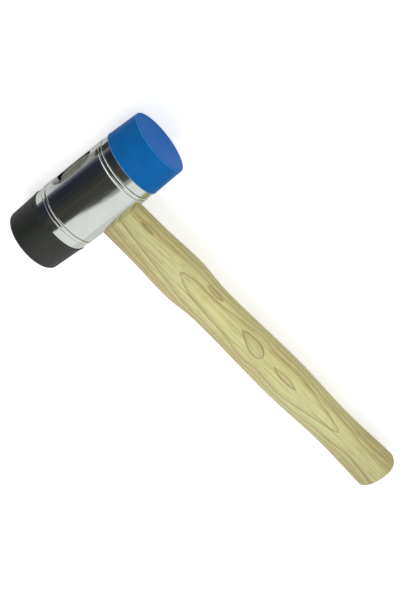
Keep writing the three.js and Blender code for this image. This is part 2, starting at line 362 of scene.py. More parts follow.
def add_bored_end(skin, ring, side):
    """The rounded end of the bar and its bore, from the last ring of the grid inwards."""
    profile = rounded_profile([
        (HEAD_RADIUS, BAR_EDGE, 0),
        (HEAD_RADIUS, BODY_END, BODY_EDGE),
        (BORE_RADIUS + BORE_CHAMFER, BODY_END, HIDDEN_EDGE),
        (BORE_RADIUS, BODY_END - BORE_CHAMFER, HIDDEN_EDGE),
        (BORE_RADIUS, BORE_END, BORE_FLOOR_EDGE),
        (0, BORE_END, 0),
    ], False)
    # The first two points repeat the grid's ring, and the last one is the centre.
    for r, y, nr, ny in profile[2:-1]:
        following = []
        for s in range(SEGMENTS):
            c, n = math.cos(BAR_STEP * s), math.sin(BAR_STEP * s)
            following.append(skin.add_point((r * c, side * y, r * n), (nr * c, side * ny, nr * n)))
        skin.add_strip(ring, following)
        ring = following
    centre = skin.add_point((0, side * BORE_END, 0), (0, side, 0))
    for s in range(SEGMENTS):
        skin.faces.append((ring[s], ring[(s + 1) % SEGMENTS], centre))


def head_body_mesh():
    skin = Skin()
    grid = add_bar(skin)
    top_wall = add_eye_rim(skin, grid, -1)
    mouth_wall = add_eye_rim(skin, grid, 1)
    waist = []
    for index in top_wall:
        x, y, z = skin.points[index]
        y *= EYE_WAIST_LENGTH / 2 / eye_half_length(x)
        waist.append(skin.add_point((0, y, z), skin.normals[index]))
    skin.add_strip(top_wall, waist)
    skin.add_strip(waist, mouth_wall)
    for side, row in ((1, len(BAR_ROWS) - 1), (-1, 0)):
        add_bored_end(skin, [grid[row, s] for s in range(SEGMENTS)], side)
    return mesh_of("head_body_form", skin.points, skin.faces, skin.normals)


# Seat ring, collar, striking face and stud

def seat_ring_mesh(name):
    return turned(name, [
        (BORE_RADIUS, RING_START, HIDDEN_EDGE),
        (HEAD_RADIUS, RING_START, RING_EDGE),
        (HEAD_RADIUS, RING_END, RING_EDGE),
        (BORE_RADIUS, RING_END, HIDDEN_EDGE),
    ], True)


def collar_mesh(name):
    return turned(name, [
        (BORE_RADIUS, COLLAR_START, HIDDEN_EDGE),
        (COLLAR_RADIUS, COLLAR_START, RING_EDGE),
        (COLLAR_RADIUS, COLLAR_END, HIDDEN_EDGE),
        (CUP_RADIUS, COLLAR_END, HIDDEN_EDGE),
        (CUP_RADIUS, COLLAR_START + COLLAR_WEB, HIDDEN_EDGE),
        (BORE_RADIUS, COLLAR_START + COLLAR_WEB, HIDDEN_EDGE),
    ], True)


def face_mesh(name, shape):
    pocket = FLANGE_RADIUS + FIT_GAP
    spigot = CUP_RADIUS - FIT_GAP
    return turned(name, [
        (0, FLANGE_END + FIT_GAP, 0),
        (pocket, FLANGE_END + FIT_GAP, HIDDEN_EDGE),
        (pocket, FLANGE_START - FIT_GAP, HIDDEN_EDGE),
        (BORE_RADIUS, FLANGE_START - FIT_GAP, HIDDEN_EDGE),
        (BORE_RADIUS, SPIGOT_START, HIDDEN_EDGE),
        (spigot, SPIGOT_START, HIDDEN_EDGE),
        (spigot, FACE_START, HIDDEN_EDGE),
        (LIP_RADIUS, FACE_START, LIP_EDGE),
        (shape["base"], FACE_START + LIP_LENGTH, LIP_BLEND),
        (shape["tip"], FACE_START + shape["length"], shape["round"]),
        (0, FACE_START + shape["length"], 0),
    ], False)


def loft(name, rings):
    """A skin through rings of equal count, closed by a fan at each end."""
    count = len(rings[0])
    points = [p for ring in rings for p in ring]
    faces = []
    for r in range(len(rings) - 1):
        for i in range(count):
            a, b = r * count + i, r * count + (i + 1) % count
            faces.append((a, b, b + count, a + count))
    for r in (0, len(rings) - 1):
        points.append(sum((Vector(p) for p in rings[r]), Vector()) / count)
        for i in range(count):
            faces.append((r * count + i, r * count + (i + 1) % count, len(points) - 1))
    return mesh_of(name, points, faces)


def stud_mesh(name):
    """Right-hand thread that runs out into a plain neck, then the flange."""
    thread_end = BODY_END + THREAD_RUNOUT
    count = round((thread_end - STUD_TIP) / THREAD_PITCH * ROWS_PER_PITCH)
    rows = []
    for k in range(count + 1):
        y = STUD_TIP + (thread_end - STUD_TIP) * k / count
        fade = min(1, (thread_end - y) / (THREAD_PITCH / 2))
        rows.append((y, THREAD_RADIUS, THREAD_DEPTH * fade))
    rows += [
        (FLANGE_START, THREAD_RADIUS, 0),
        (FLANGE_START, FLANGE_RADIUS, 0),
        (FLANGE_END, FLANGE_RADIUS, 0),
    ]
    rings = []
    for y, radius, depth in rows:
        ring = []
        for i in range(THREAD_SEGMENTS):
            turn = i / THREAD_SEGMENTS
            r = radius - depth * (0.5 - 0.5 * math.cos(2 * math.pi * (y / THREAD_PITCH - turn)))
            angle = 2 * math.pi * turn
            ring.append((-r * math.cos(angle), y, r * math.sin(angle)))
        rings.append(ring)
    mesh = loft(name, rings)
    mesh.set_sharp_from_angle(angle=math.radians(THREAD_SHARP_ANGLE))
    return mesh


# Handle and wedges

def spline_points(knots, sections):
    """Points of a centripetal Catmull-Rom spline through the knots."""
    knots = [Vector(k) for k in knots]
    ends = [2 * knots[0] - knots[1], *knots, 2 * knots[-1] - knots[-2]]
    spans = len(knots) - 1
    result = []
    for n in range(sections + 1):
        place = spans * n / sections
        i = min(int(place), spans - 1)
        w = place - i
        p = ends[i:i + 4]
        dt = [max((p[k + 1] - p[k]).length ** 0.5, 1e-6) for k in range(3)]
        start = ((p[1] - p[0]) / dt[0] - (p[2] - p[0]) / (dt[0] + dt[1]) + (p[2] - p[1]) / dt[1]) * dt[1]
        finish = ((p[2] - p[1]) / dt[1] - (p[3] - p[1]) / (dt[1] + dt[2]) + (p[3] - p[2]) / dt[2]) * dt[1]
        square = -3 * p[1] + 3 * p[2] - 2 * start - finish
        cube = 2 * p[1] - 2 * p[2] + start + finish
        result.append(p[1] + start * w + square * w ** 2 + cube * w ** 3)
    return result


def oval_ring(x, left, right, half_thickness):
    """A section of the handle, with its own half width to each side."""
    ring = []
    for i in range(HANDLE_POINTS):
        y, z = oval_point(2 * math.pi * i / HANDLE_POINTS, 1, half_thickness)
        ring.append((x, y * (left if y < 0 else right), z))
    return ring


def wedge_rings(grow, past):
    """Rings of the wooden wedge or, where it grows, of the kerf that it sits in."""
    low = TENON_BEVEL + WEDGE_MARGIN - eye_half_length(TENON_TIP)
    high = EYE_WAIST_LENGTH / 2 - WEDGE_MARGIN
    if grow:
        low, high = -EYE_TOP_LENGTH, EYE_TOP_LENGTH
    rings = []
    for depth in (-past, WEDGE_DEPTH + grow):
        half = (WEDGE_TOP - (WEDGE_TOP - WEDGE_TIP) * depth / WEDGE_DEPTH) / 2 + grow
        x = TENON_TIP + depth
        rings.append([(x, high, -half), (x, high, half), (x, low, half), (x, low, -half)])
    return rings


def steel_wedge_rings(grow, past):
    """Rings of the steel wedge or, where it grows, of the slit that it sits in."""
    rings = []
    for depth in (-past, STEEL_WEDGE_DEPTH + grow):
        fall = (STEEL_WEDGE_TOP - STEEL_WEDGE_TIP) * depth / STEEL_WEDGE_DEPTH
        half = (STEEL_WEDGE_TOP - fall) / 2 + grow
        wide, x = STEEL_WEDGE_WIDTH / 2 + grow, TENON_TIP + depth
        low, high = STEEL_WEDGE_PLACE - half, STEEL_WEDGE_PLACE + half
        rings.append([(x, high, -wide), (x, high, wide), (x, low, wide), (x, low, -wide)])
    return rings


def slit_form():
    return loft("slit_form", steel_wedge_rings(FIT_GAP, CUT_PAST))


def cut(mesh, *tools):
    """The mesh less the tools, by an exact boolean."""
    scene = bpy.context.scene
    base = bpy.data.objects.new("cut_base", mesh)
    scene.collection.objects.link(base)
    helpers = []
    for tool in tools:
        helper = bpy.data.objects.new("cut_tool", tool)
        scene.collection.objects.link(helper)
        helpers.append(helper)
        modifier = base.modifiers.new("cut", "BOOLEAN")
        modifier.operation = "DIFFERENCE"
        modifier.solver = "EXACT"
        modifier.object = helper
    graph = bpy.context.evaluated_depsgraph_get()
    result = bpy.data.meshes.new_from_object(base.evaluated_get(graph))
    for helper in [base, *helpers]:
        bpy.data.objects.remove(helper)
    result.shade_smooth()
    return result


def bevelled(mesh, width):
    """The mesh with its sharp edges rounded by a small bevel."""
    work = bmesh.new()
    work.from_mesh(mesh)
    limit = math.radians(SHARP_ANGLE)
    sharp = [e for e in work.edges if len(e.link_faces) == 2 and e.calc_face_angle() > limit]
    bmesh.ops.bevel(
        work, geom=sharp, offset=width * MM, segments=BEVEL_SEGMENTS, profile=0.5, affect="EDGES"
    )
    work.to_mesh(mesh)
    work.free()
    mesh.shade_smooth()
    return mesh


def tenon_ring(x, bevel, inset):
    half = eye_half_length(x) - FIT_GAP - inset
    return oval_ring(x, half - bevel, half, EYE_HALF_THICKNESS - FIT_GAP - inset)


def butt_ring(x, inset):
    width = butt_half_width - inset
    return oval_ring(x, width, width, butt_half_thickness - inset)


def handle_rings():
    """Sections from the tenon's rounded end through the eye and along the handle to the butt."""
    rings = []
    for i in range(ARC_STEPS, -1, -1):
        angle = math.pi / 2 * i / ARC_STEPS
        x = TENON_TIP + TENON_EDGE * (1 - math.sin(angle))
        rings.append(tenon_ring(x, TENON_BEVEL, TENON_EDGE * (1 - math.cos(angle))))
    rings.append(tenon_ring(TENON_TIP + TENON_BEVEL_LENGTH, 0, 0))
    rings.append(tenon_ring(0, 0, 0))
    mouth = HEAD_RADIUS + FIT_GAP
    knots = [(mouth, eye_half_length(mouth) - FIT_GAP, EYE_HALF_THICKNESS - FIT_GAP), *HANDLE_PLACES]
    for x, width, thickness in spline_points(knots, HANDLE_SECTIONS):
        rings.append(oval_ring(x, width, width, thickness))
    for i in range(1, BUTT_STEPS + 1):
        angle = math.pi / 2 * i / BUTT_STEPS
        inset = BUTT_ROUND * (1 - math.cos(angle))
        rings.append(butt_ring(butt_place + BUTT_ROUND * math.sin(angle), inset))
    rings.append(butt_ring(HANDLE_REACH, BUTT_ROUND + BUTT_RING_INSET))
    return rings


def handle_mesh():
    kerf = loft("kerf_form", wedge_rings(FIT_GAP, CUT_PAST))
    mesh = cut(loft("handle_form", handle_rings()), kerf, slit_form())
    mesh.set_sharp_from_angle(angle=math.radians(SHARP_ANGLE))
    return mesh


def wood_wedge_mesh():
    return bevelled(cut(loft("wood_wedge_form", wedge_rings(0, 0)), slit_form()), WEDGE_EDGE)


def steel_wedge_mesh():
    return bevelled(loft("steel_wedge_form", steel_wedge_rings(0, 0)), WEDGE_EDGE)


# Shader nodes

EVEN = (1, 1, 1)


def add(tree, kind, inputs, **settings):
    """A node whose inputs are linked where a socket is given, and set otherwise."""
    node = tree.nodes.new(kind)
    for key, value in settings.items():
        setattr(node, key, value)
    for key, value in inputs.items():
        if isinstance(value, bpy.types.NodeSocket):
            tree.links.new(value, node.inputs[key])
        else:
            node.inputs[key].default_value = value
    return node


def maths(tree, operation, *values):
    inputs = dict(enumerate(values))
    return add(tree, "ShaderNodeMath", inputs, operation=operation).outputs[0]


def millimetres(tree, stretch=EVEN):
    """The piece's own coordinates in millimetres, times a stretch."""
    place = add(tree, "ShaderNodeTexCoord", {}).outputs["Object"]
    scale = tuple(s / MM for s in stretch)
    return add(tree, "ShaderNodeMapping", {"Vector": place, "Scale": scale}).outputs[0]


def axes(tree):
    """X, Y and Z of the hammer's own frame, in millimetres."""
    return add(tree, "ShaderNodeSeparateXYZ", {"Vector": millimetres(tree)}).outputs


def square_radius(tree, x, z):
    """Square of the distance from the head axis."""
    return maths(tree, "ADD", maths(tree, "MULTIPLY", x, x), maths(tree, "MULTIPLY", z, z))


def noise(tree, stretch, scale, detail=2.0, rough=0.5):
    values = {"Vector": millimetres(tree, stretch), "Scale": scale, "Detail": detail, "Roughness": rough}
    return add(tree, "ShaderNodeTexNoise", values).outputs["Fac"]


def ramp(tree, factor, stops):
    """Colours, or greys, that run through (position, value) stops."""
    node = add(tree, "ShaderNodeValToRGB", {"Fac": factor})
    elements = node.color_ramp.elements
    while len(elements) < len(stops):
        elements.new(0.5)
    for element, (position, value) in zip(elements, stops):
        element.position = position
        colour = value if isinstance(value, tuple) else (value, value, value)
        element.color = (*colour, 1)
    return node.outputs["Color"]


def spread(tree, value, low, high, to_low, to_high):
    """A value's range from low to high, spread over another range and stopped at its ends."""
    inputs = {"Value": value, "From Min": low, "From Max": high, "To Min": to_low, "To Max": to_high}
    return add(tree, "ShaderNodeMapRange", inputs).outputs["Result"]


def blend(tree, factor, a, b, kind="MIX"):
    node = add(tree, "ShaderNodeMix", {}, data_type="RGBA", blend_type=kind)
    for key, value in ((0, factor), (6, a), (7, b)):
        if isinstance(value, bpy.types.NodeSocket):
            tree.links.new(value, node.inputs[key])
        else:
            node.inputs[key].default_value = (*value, 1) if isinstance(value, tuple) else value
    return node.outputs[2]


def tint(tree, colour, by, factor=1.0):
    return blend(tree, factor, colour, by, "MULTIPLY")


def bump(tree, height, strength, distance):
    values = {"Height": height, "Strength": strength, "Distance": distance * MM}
    return add(tree, "ShaderNodeBump", values).outputs["Normal"]


def curve(tree, factor, points):
    """A smooth curve through points that all lie between 0 and 1."""
    node = add(tree, "ShaderNodeFloatCurve", {"Value": factor})
    line = node.mapping.curves[0]
    line.points[0].location = points[0]
    line.points[1].location = points[-1]
    for point in points[1:-1]:
        line.points.new(*point)
    node.mapping.update()
    return node.outputs[0]


def new_material(name, inputs):
    material = bpy.data.materials.new(name)
    material.use_nodes = True
    shader = material.node_tree.nodes["Principled BSDF"]
    for key, value in inputs.items():
        shader.inputs[key].default_value = value
    return material, material.node_tree, shader


def link_inputs(tree, shader, sockets):
    for key, socket in sockets.items():
        tree.links.new(socket, shader.inputs[key])


# Materials of the head

def chrome_material():
    """Polished chrome, with painted shade on the wall of the eye and a painted highlight on that wall at
    its rubber end.
    """
    material, tree, shader = new_material("chrome", {"Metallic": 1.0})
    cloud = noise(tree, EVEN, 0.12, 3.0)
    colour = ramp(tree, cloud, [(0.3, (0.62, 0.65, 0.61)), (0.7, (0.68, 0.71, 0.67))])
    x, y, z = axes(tree)
    eye_end = EYE_TOP_LENGTH / 2
    from_axis = square_radius(tree, x, z)
    under = spread(tree, from_axis, (HEAD_RADIUS - 0.7) ** 2, (HEAD_RADIUS - 0.3) ** 2, 1, 0)
    between = spread(tree, maths(tree, "ABSOLUTE", y), eye_end + 1, eye_end + 2, 1, 0)
    eye_wall = maths(tree, "MULTIPLY", under, between)
    # Painted highlight: the wall of the eye at its rubber end is made pale and rougher, so that it shows
    # bright.
    eye_wall_glint = maths(tree, "MULTIPLY", eye_wall, spread(tree, y, 1.7 - eye_end, 2.7 - eye_end, 1, 0))
    eye_wall_shade = maths(tree, "SUBTRACT", eye_wall, eye_wall_glint)
    # Painted shade: the wall of the eye, save its rubber end, is made near black where it lies in shade.
    colour = blend(tree, eye_wall_shade, colour, (0.03, 0.03, 0.028))
    colour = blend(tree, eye_wall_glint, colour, (0.95, 0.96, 0.97))
    wipe = noise(tree, (1, 0.15, 1), 0.9, 4.0, 0.6)
    polish = spread(tree, wipe, 0.3, 0.75, 0.05, 0.12)
    wave = noise(tree, (1, 0.35, 1), 0.16, 2.0)
    link_inputs(tree, shader, {
        "Base Color": colour,
        "Roughness": maths(tree, "ADD", polish, maths(tree, "MULTIPLY", eye_wall_glint, 0.5)),
        "Normal": bump(tree, wave, 0.25, 0.25),
    })
    return material


def steel_material():
    material, tree, shader = new_material("steel", {"Metallic": 1.0})
    grain = noise(tree, EVEN, 1.4, 4.0, 0.6)
    link_inputs(tree, shader, {
        "Base Color": ramp(tree, grain, [(0.3, (0.13, 0.135, 0.13)), (0.7, (0.22, 0.225, 0.22))]),
        "Roughness": spread(tree, grain, 0.3, 0.7, 0.35, 0.5),
        "Normal": bump(tree, grain, 0.2, 0.05),
    })
    return material


def blue_material():
    """Blue plastic, with a painted highlight that pales its rim and lip in patches, and another tone on the
    end face.
    """
    material, tree, shader = new_material("blue_plastic", {"Specular IOR Level": 0.04})
    cloud = noise(tree, EVEN, 0.1, 3.0)
    colour = ramp(tree, cloud, [(0.3, (0.004, 0.128, 0.40)), (0.7, (0.008, 0.142, 0.435))])
    x, y, z = axes(tree)
    end, tip = FACE_START + BLUE["length"], BLUE["tip"]
    outer = spread(tree, square_radius(tree, x, z), (tip - 1.05) ** 2, (tip - 0.65) ** 2, 0, 1)
    rim = maths(tree, "MULTIPLY", spread(tree, y, end - 0.9, end - 0.5, 0, 1), outer)
    lip = spread(tree, y, FACE_START + 0.3, FACE_START + 0.7, 0.8, 0)
    patches = spread(tree, noise(tree, EVEN, 0.25, 3.0), 0.3, 0.7, 0.5, 1)
    # Painted highlight: the rim of the end and the lip are paled, in patches.
    painted_rim_highlight = maths(tree, "MULTIPLY", maths(tree, "MAXIMUM", rim, lip), patches)
    colour = blend(tree, painted_rim_highlight, colour, (0.09, 0.32, 0.70))
    # The end face gets a tone of its own.
    end_face_tone = spread(tree, y, end - 0.6, end - 0.1, 0, 1)
    scuff = noise(tree, (1, 0.3, 1), 1.6, 5.0, 0.65)
    peel = noise(tree, EVEN, 0.8, 3.0)
    link_inputs(tree, shader, {
        "Base Color": blend(tree, end_face_tone, colour, (0.003, 0.145, 0.52)),
        "Roughness": spread(tree, scuff, 0.35, 0.75, 0.26, 0.4),
        "Normal": bump(tree, peel, 0.08, 0.06),
    })
    return material


def rubber_material():
    material, tree, shader = new_material("black_rubber", {"Specular IOR Level": 0.42})
    cloud = noise(tree, EVEN, 0.18, 4.0, 0.6)
    grain = noise(tree, EVEN, 2.2, 5.0, 0.65)
    link_inputs(tree, shader, {
        "Base Color": ramp(tree, cloud, [(0.3, (0.015, 0.0175, 0.014)), (0.7, (0.024, 0.027, 0.022))]),
        "Roughness": spread(tree, grain, 0.3, 0.7, 0.5, 0.66),
        "Normal": bump(tree, grain, 0.3, 0.06),
    })
    return material


# Materials of the handle and its wedges

# Growth rings along the handle: how high the ring field stands, and where its crest runs across
RING_HEIGHT = [
    (0, 1.55), (45, 1.43), (62, 1.38), (75, 1.32), (95, 1.60), (115, 1.98),
    (121, 2.08), (128, 2.28), (138, 2.42), (146, 1.98), (152, 1.92), (164, 2.035),
    (174, 2.01), (182, 1.78), (200, 1.36), (225, 1.06), (250, 0.42), (280, 0.45),
]
RING_CREST = [
    (0, 11.5), (60, 11.5), (75, 9.8), (90, 7.8), (120, 9.6),
    (150, 9.6), (180, 9.0), (220, 9.0), (280, 5.5),
]
HEIGHT_SPAN = 4.0
CREST_SPAN = 12.0
GRAIN_SPAN = 280.0

# The field falls off beside the crest, rises with Z above a level and stops at a limit. On the round top of
# the handle its slope in Y grows by RING_LEAN per millimetre, and it counts as LEAST_LEAN at least.
RING_SPREAD = 0.0049
RING_RISE = 0.34
RING_LEVEL = 10.0
RING_LIMIT = 1.93
RING_LEAN = 0.0234
LEAST_LEAN = 0.02
DRIFT_BEND = 12.0

# Reach of the dark lines in millimetres, from full to none: past a ring line, before it and round an island
LINE_PAST = (0.1, 0.75)
LINE_BEFORE = (0.0, 0.3)
ISLAND_LINE = (0.15, 0.6)
ISLAND_LINE_INSET = 0.2

# Islands in the grain: middle in X and Y, half length, half width, slant, and whether the far end is round
ISLANDS = [
    (132.5, 5.3, 12.0, 4.1, -0.16, True),
    (166.5, 4.6, 12.0, 2.1, -0.01, False),
    (91.0, 10.4, 8.0, 1.3, -0.05, False),
    (33.0, 8.8, 6.0, 0.8, -0.04, False),
]
ROUND_END = 0.92
PAST_TIPS = 4
FAR_AWAY = 100000


def share_along(tree, x):
    return spread(tree, x, 0, GRAIN_SPAN, 0, 1)


def along_handle(tree, x, points, span):
    """A value that runs through (place, value) points along the handle and stays under a span."""
    shares = [(at / GRAIN_SPAN, value / span) for at, value in points]
    return maths(tree, "MULTIPLY", curve(tree, share_along(tree, x), shares), span)


def grain_drift(tree):
    """How far the ring field wanders and frays along the fibres."""
    wander = spread(tree, noise(tree, (0.22, 1, 1), 0.09, 3.0, 0.55), 0, 1, -0.08, 0.08)
    fray = spread(tree, noise(tree, (0.08, 1, 1), 0.7, 3.0, 0.6), 0, 1, -0.05, 0.05)
    return maths(tree, "ADD", wander, fray)


def grain_island(tree, x, y, middle_x, middle_y, half_length, half_width, slant, rounded):
    """Millimetres inside a pointed island in the grain, negative outside it."""
    off = maths(tree, "SUBTRACT", x, middle_x)
    u = maths(tree, "DIVIDE", off, half_length)
    axis = maths(tree, "ADD", maths(tree, "MULTIPLY", off, slant), middle_y)
    v = maths(tree, "DIVIDE", maths(tree, "ABSOLUTE", maths(tree, "SUBTRACT", y, axis)), half_width)
    near = maths(tree, "ADD", 1, u)
    far = maths(tree, "MAXIMUM", maths(tree, "SUBTRACT", 1, u), 0)
    if rounded:
        far = maths(tree, "MULTIPLY", maths(tree, "SQRT", far), ROUND_END)
    past = maths(tree, "MULTIPLY", maths(tree, "GREATER_THAN", maths(tree, "ABSOLUTE", u), 1), PAST_TIPS)
    limit = maths(tree, "SUBTRACT", maths(tree, "MULTIPLY", near, far), past)
    return maths(tree, "MULTIPLY", maths(tree, "SUBTRACT", limit, v), half_width)


def ash_grain(tree, x, y, z):
    """Strength of the dark ring lines, millimetres past the last one, and the share of the way onwards."""
    crest = along_handle(tree, x, RING_CREST, CREST_SPAN)
    off = maths(tree, "SUBTRACT", y, crest)
    fall = maths(tree, "MULTIPLY", maths(tree, "MULTIPLY", off, off), RING_SPREAD)
    rise = maths(tree, "MULTIPLY", maths(tree, "SUBTRACT", z, RING_LEVEL), RING_RISE)
    drift = grain_drift(tree)
    height = maths(tree, "SUBTRACT", along_handle(tree, x, RING_HEIGHT, HEIGHT_SPAN), fall)
    field = maths(tree, "ADD", height, maths(tree, "ADD", rise, drift))
    ring = maths(tree, "FRACT", maths(tree, "MINIMUM", field, RING_LIMIT))
    across = maths(tree, "MULTIPLY", crest, 2 * RING_SPREAD)
    lean = maths(tree, "SUBTRACT", maths(tree, "MULTIPLY", y, RING_LEAN), across)
    steep = maths(tree, "MAXIMUM", maths(tree, "ABSOLUTE", lean), LEAST_LEAN)
    inner = maths(tree, "DIVIDE", ring, steep)
    outer = maths(tree, "DIVIDE", maths(tree, "SUBTRACT", 1, ring), steep)
    past = spread(tree, inner, *LINE_PAST, 1, 0)
    line = maths(tree, "MAXIMUM", past, spread(tree, outer, *LINE_BEFORE, 1, 0))
    bent = maths(tree, "ADD", y, maths(tree, "MULTIPLY", drift, DRIFT_BEND))
    for island in ISLANDS:
        within = grain_island(tree, x, bent, *island)
        from_edge = maths(tree, "ABSOLUTE", maths(tree, "SUBTRACT", within, ISLAND_LINE_INSET))
        line = maths(tree, "MAXIMUM", line, spread(tree, from_edge, *ISLAND_LINE, 1, 0))
        outside = maths(tree, "MULTIPLY", maths(tree, "LESS_THAN", within, 0), FAR_AWAY)
        inner = maths(tree, "MINIMUM", inner, maths(tree, "ADD", within, outside))
    return line, inner, ring


def ash_ring_colour(tree, y, line, inner):
    """Wood that pales from each ring line to the next, with the lines strongest in the middle."""
    plain = ramp(tree, spread(tree, inner, 0, 6, 0, 1), [
        (0.0, (0.555, 0.475, 0.235)),
        (0.2, (0.595, 0.54, 0.275)),
        (0.5, (0.645, 0.615, 0.31)),
        (1.0, (0.70, 0.685, 0.34)),
    ])
    patchy = spread(tree, noise(tree, (0.3, 1, 1), 0.12, 3.0, 0.6), 0.35, 0.65, 0.35, 1.0)
    middle = spread(tree, maths(tree, "ABSOLUTE", y), 6, 11, 1, 0.6)
    strength = maths(tree, "MULTIPLY", line, maths(tree, "MULTIPLY", patchy, middle))
    return blend(tree, strength, plain, (0.31, 0.235, 0.095))


def ash_material():
    """Pale ash: rings, rosy patches, streaks, fibres, pores, then heartwood, painted shade under the head
    and darker wood towards the butt, painted shade on the tenon inside the eye, and the sawn end, dark as
    end grain and by painted shade.
    """
    material, tree, shader = new_material("ash", {"Specular IOR Level": 0.3})
    x, y, z = axes(tree)
    line, inner, ring = ash_grain(tree, x, y, z)
    colour = ash_ring_colour(tree, y, line, inner)
    rosy = spread(tree, noise(tree, (0.3, 1, 1), 0.07, 2.0), 0.5, 0.7, 0, 0.8)
    colour = tint(tree, colour, (1.0, 0.94, 0.88), rosy)
    streak = noise(tree, (0.02, 1, 1), 0.7, 5.0, 0.72)
    pale = (1.04, 1.04, 1.02)
    colour = tint(tree, colour, ramp(tree, streak, [(0.36, (0.80, 0.77, 0.68)), (0.5, 1.0), (0.62, pale)]))
    fibre = noise(tree, (0.012, 1, 1), 1.9, 3.0, 0.6)
    colour = tint(tree, colour, ramp(tree, fibre, [(0.38, (0.84, 0.81, 0.73)), (0.5, 1.0), (0.62, pale)]))
    pores = ramp(tree, noise(tree, (0.06, 1, 1), 3.2, 2.0), [(0.62, 0.0), (0.72, 1.0)])
    early = ramp(tree, ring, [(0.0, 1.0), (0.3, 0.35), (0.6, 0.15), (1.0, 0.6)])
    colour = blend(tree, tint(tree, pores, early), colour, (0.30, 0.24, 0.105))
    wave = spread(tree, noise(tree, (0.1, 1, 1), 0.25, 2.0), 0, 1, -4, 4)
    heart = spread(tree, maths(tree, "ADD", y, wave), 5.0, 9.5, 0, 1)
    colour = tint(tree, colour, (1.0, 0.96, 0.87), heart)
    # Painted shade darkens the wood under the head; the wood is also darker towards the butt and lighter in
    # between.
    lighter_middle = (1.03, 1.06, 1.07)
    head_shade_and_butt_tone = [(0.07, 0.85), (0.17, 0.96), (0.3, lighter_middle), (0.75, lighter_middle), (0.9, 0.91), (1.0, 0.86)]
    colour = tint(tree, colour, ramp(tree, share_along(tree, x), head_shade_and_butt_tone))
    # Painted shade: the tenon inside the eye is made near black.
    shade_in_eye = spread(tree, x, HEAD_RADIUS - 3, HEAD_RADIUS - 0.5, 1, 0)
    colour = blend(tree, shade_in_eye, colour, (0.05, 0.042, 0.03))
    # The sawn end of the tenon: darker end grain with saw marks, darker still by painted shade of its
    # recess.
    sawn = noise(tree, (1, 2.5, 0.4), 0.8, 3.0)
    end_grain_and_shade = ramp(tree, sawn, [(0.3, (0.15, 0.165, 0.13)), (0.7, (0.25, 0.265, 0.215))])
    at_end = spread(tree, x, TENON_TIP + 0.3, TENON_TIP + 0.5, 1, 0)
    link_inputs(tree, shader, {
        "Base Color": blend(tree, at_end, colour, end_grain_and_shade),
        "Roughness": spread(tree, streak, 0.3, 0.7, 0.5, 0.4),
        "Normal": bump(tree, streak, 0.12, 0.12),
    })
    return material


def beech_material():
    material, tree, shader = new_material("beech", {"Specular IOR Level": 0.3, "Roughness": 0.6})
    fleck = noise(tree, (0.15, 1, 1), 1.2, 4.0, 0.6)
    link_inputs(tree, shader, {
        "Base Color": ramp(tree, fleck, [(0.3, (0.15, 0.145, 0.105)), (0.7, (0.24, 0.23, 0.175))]),
        "Normal": bump(tree, fleck, 0.3, 0.1),
    })
    return material


# Pieces

chrome = chrome_material()
steel = steel_material()

add_piece("head_body_finish", head_body_mesh(), chrome, "head_body", "head")
add_piece("handle_finish", handle_mesh(), ash_material(), "handle", "head")
add_piece("wood_wedge_finish", wood_wedge_mesh(), beech_material(), "wood_wedge", "head")
add_piece("steel_wedge_finish", steel_wedge_mesh(), steel, "steel_wedge", "head")

for end, shape, face_material, face_slot, place in (
    ("blue", BLUE, blue_material(), "blue_plastic", PLACE),
    ("rubber", RUBBER, rubber_material(), "black_rubber", PLACE_TURNED),
):
    ring, tip = f"{end}_ring", f"{end}_tip"
    seat = seat_ring_mesh(f"{end}_seat_ring_form")
    add_piece(f"{end}_seat_ring_finish", seat, chrome, f"{end}_seat_ring", ring, place)
    collar = collar_mesh(f"{end}_collar_form")
    add_piece(f"{end}_collar_finish", collar, chrome, f"{end}_collar", tip, place)
    face = face_mesh(f"{end}_face_form", shape)
    add_piece(f"{end}_face_finish", face, face_material, f"{end}_face", tip, place)
    stud = stud_mesh(f"{end}_stud_form")
    add_piece(f"{end}_stud_finish", stud, steel, f"{end}_stud", tip, place)


# Studio, in metres

FLOOR_SIZE = 6.0
FLOOR_GLOW = 0.55
MIRROR_GLOW = 0.05
FILL = 0.5

# Name, place, diameter and watts of each lamp, which points at the middle of the hammer's footprint
LAMPS = [
    ("key", (0.12, -0.62, 1.08), 1.1, 6.8),
    ("side", (-0.25, 0.95, 0.65), 0.9, 2.5),
]

# Dark wall that only the gloss shows: it stands behind the head and leans over it.
# Each row is its place from the head axis in X and Z, and its two ends in Y.
WALL = [
    (-0.085, -0.0202, -0.90, 0.045),
    (-0.10, 0.04, -0.90, 0.04),
    (-0.16, 0.20, -0.90, 0.0),
    (-0.22, 0.40, -0.80, -0.06),
    (-0.16, 0.58, -0.50, -0.11),
    (0.0, 0.66, -0.31, -0.14),
    (0.10, 0.68, -0.285, -0.15),
    (0.34, 0.66, -0.258, -0.15),
]
WALL_SECTIONS = 64
WALL_FADE = 0.03
WALL_TONES = [
    (0.0, (0.34, 0.34, 0.38)),
    (0.025, (0.12, 0.12, 0.16)),
    (0.06, (0.038, 0.040, 0.066)),
    (0.15, (0.034, 0.038, 0.047)),
    (0.35, (0.064, 0.060, 0.050)),
    (0.6, (0.068, 0.068, 0.064)),
    (0.86, (0.085, 0.088, 0.084)),
    (1.0, (0.6, 0.6, 0.6)),
]
WALL_MOTTLE = 1.0

# Grey card on the floor behind the head, also seen in the gloss alone: dark beside the blue end.
# Its back and front edges are a place from the head axis in X, and two ends in Y.
CARD_BACK = (-0.088, -0.0516, 0.0403)
CARD_FRONT = (-0.037, -0.0323, 0.0523)
CARD_LIFT = 0.0005
CARD_TONES = [(0.0, 0.8), (0.1, 0.64), (0.19, 0.47), (0.25, 0.42), (0.38, 0.39), (0.48, 0.36), (0.5, 0.05)]
CARD_MOTTLE = 0.3

